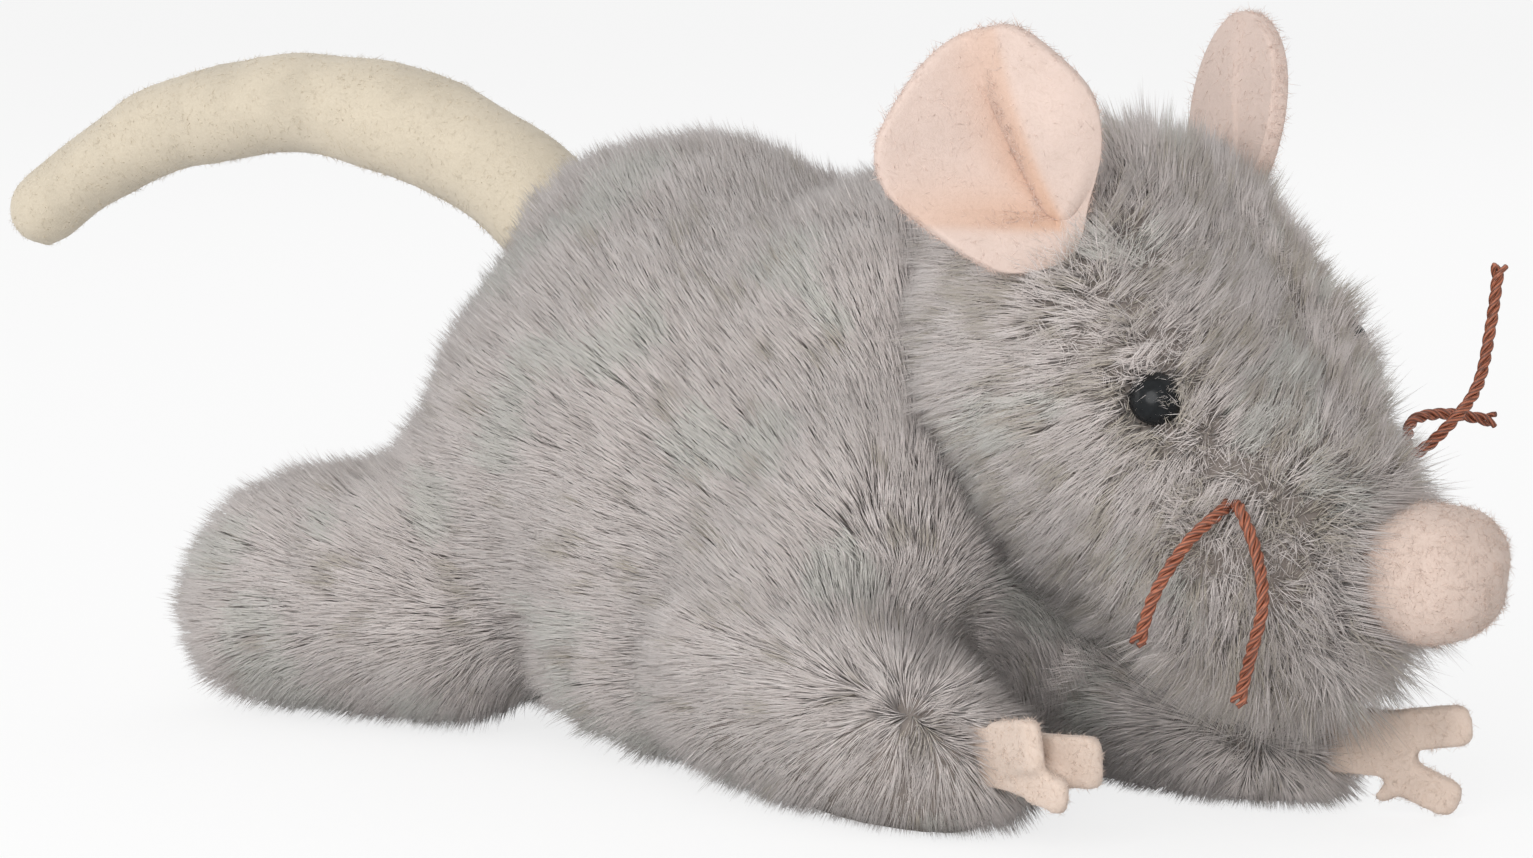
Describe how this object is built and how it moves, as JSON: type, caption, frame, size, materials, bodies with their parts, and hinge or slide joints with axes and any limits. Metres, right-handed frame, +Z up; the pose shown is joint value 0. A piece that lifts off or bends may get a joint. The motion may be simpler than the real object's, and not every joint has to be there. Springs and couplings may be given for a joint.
{
  "type": "catnip mouse",
  "caption": "Plush cat toy shaped like a mouse on its belly, with felt ears, nose, hands and tail, cord whiskers, stud eyes and a catnip sachet inside; head, limbs, ears and tail flex.",
  "frame": {"origin": "on the floor under the widest section of the body, at the middle of the flat patch of belly that the toy rests on", "axes": "+X towards the nose, +Y to the mouse's left, +Z up"},
  "size_m": [0.1801, 0.0611, 0.0707],
  "materials": {
    "grey_plush": "long soft pile",
    "fibre_filling": "loose fibre",
    "muslin": "woven",
    "dried_leaf": "loose crumbled leaf",
    "cream_felt": "felted",
    "pink_felt": "felted",
    "black_plastic": "polished",
    "white_plastic": "moulded",
    "brown_cord": "twisted"
  },
  "bodies": {
    "body": {"body_skin": "grey_plush", "body_filling": "fibre_filling", "catnip_pouch": "muslin", "catnip_herb": "dried_leaf"},
    "head": {"head_skin": "grey_plush", "head_filling": "fibre_filling", "nose_cover": "pink_felt", "nose_filling": "fibre_filling", "right_eye": "black_plastic", "right_eye_washer": "white_plastic", "left_eye": "black_plastic", "left_eye_washer": "white_plastic", "front_whisker_cord": "brown_cord", "rear_whisker_cord": "brown_cord"},
    "right_ear": {"right_ear": "pink_felt"},
    "left_ear": {"left_ear": "pink_felt"},
    "tail": {"tail_skin": "cream_felt", "tail_filling": "fibre_filling"},
    "right_foreleg": {"right_foreleg_skin": "grey_plush", "right_foreleg_filling": "fibre_filling"},
    "left_foreleg": {"left_foreleg_skin": "grey_plush", "left_foreleg_filling": "fibre_filling"},
    "right_hind_leg": {"right_hind_leg_skin": "grey_plush", "right_hind_leg_filling": "fibre_filling"},
    "left_hind_leg": {"left_hind_leg_skin": "grey_plush", "left_hind_leg_filling": "fibre_filling"},
    "right_hand": {"right_hand": "pink_felt"},
    "left_hand": {"left_hand": "pink_felt"}
  },
  "joints": [
    {"name": "head_nod", "type": "hinge", "parent": "body", "child": "head", "pos_m": [0.023, 0, 0.034], "axis": [0, -1, 0], "range_deg": [0, 18], "stiffness_Nm_per_rad": 0.03},
    {"name": "tail_lift", "type": "hinge", "parent": "body", "child": "tail", "pos_m": [-0.02, 0, 0.04544], "axis": [0, 1, 0], "range_deg": [-12, 25], "stiffness_Nm_per_rad": 0.03},
    {"name": "right_foreleg_swing", "type": "hinge", "parent": "body", "child": "right_foreleg", "pos_m": [0.009, -0.02375, 0.01295], "axis": [0, 0, -1], "range_deg": [0, 20], "stiffness_Nm_per_rad": 0.01},
    {"name": "left_foreleg_swing", "type": "hinge", "parent": "body", "child": "left_foreleg", "pos_m": [0.026, 0.01461, 0.01295], "axis": [0, 0, 1], "range_deg": [0, 20], "stiffness_Nm_per_rad": 0.01},
    {"name": "right_hind_leg_swing", "type": "hinge", "parent": "body", "child": "right_hind_leg", "pos_m": [-0.009, -0.02338, 0.0125], "axis": [0, 0, 1], "range_deg": [0, 20], "stiffness_Nm_per_rad": 0.01},
    {"name": "left_hind_leg_swing", "type": "hinge", "parent": "body", "child": "left_hind_leg", "pos_m": [-0.009, 0.02338, 0.0125], "axis": [0, 0, -1], "range_deg": [0, 20], "stiffness_Nm_per_rad": 0.01},
    {"name": "right_hand_flap", "type": "hinge", "parent": "right_foreleg", "child": "right_hand", "pos_m": [0.04636, -0.02237, 0.0075], "axis": [0, 0, 1], "range_deg": [-15, 15], "stiffness_Nm_per_rad": 0.002},
    {"name": "left_hand_flap", "type": "hinge", "parent": "left_foreleg", "child": "left_hand", "pos_m": [0.06309, 0.0054, 0.0063], "axis": [0, 0, 1], "range_deg": [-15, 15], "stiffness_Nm_per_rad": 0.002},
    {"name": "right_ear_fold", "type": "hinge", "parent": "head", "child": "right_ear", "pos_m": [0.0502, -0.01396, 0.05167], "axis": [-0.6094, -0.411, -0.678], "range_deg": [-10, 18], "stiffness_Nm_per_rad": 0.002},
    {"name": "left_ear_fold", "type": "hinge", "parent": "head", "child": "left_ear", "pos_m": [0.0502, 0.0121, 0.05344], "axis": [0.6094, -0.411, 0.678], "range_deg": [-10, 18], "stiffness_Nm_per_rad": 0.002}
  ]
}
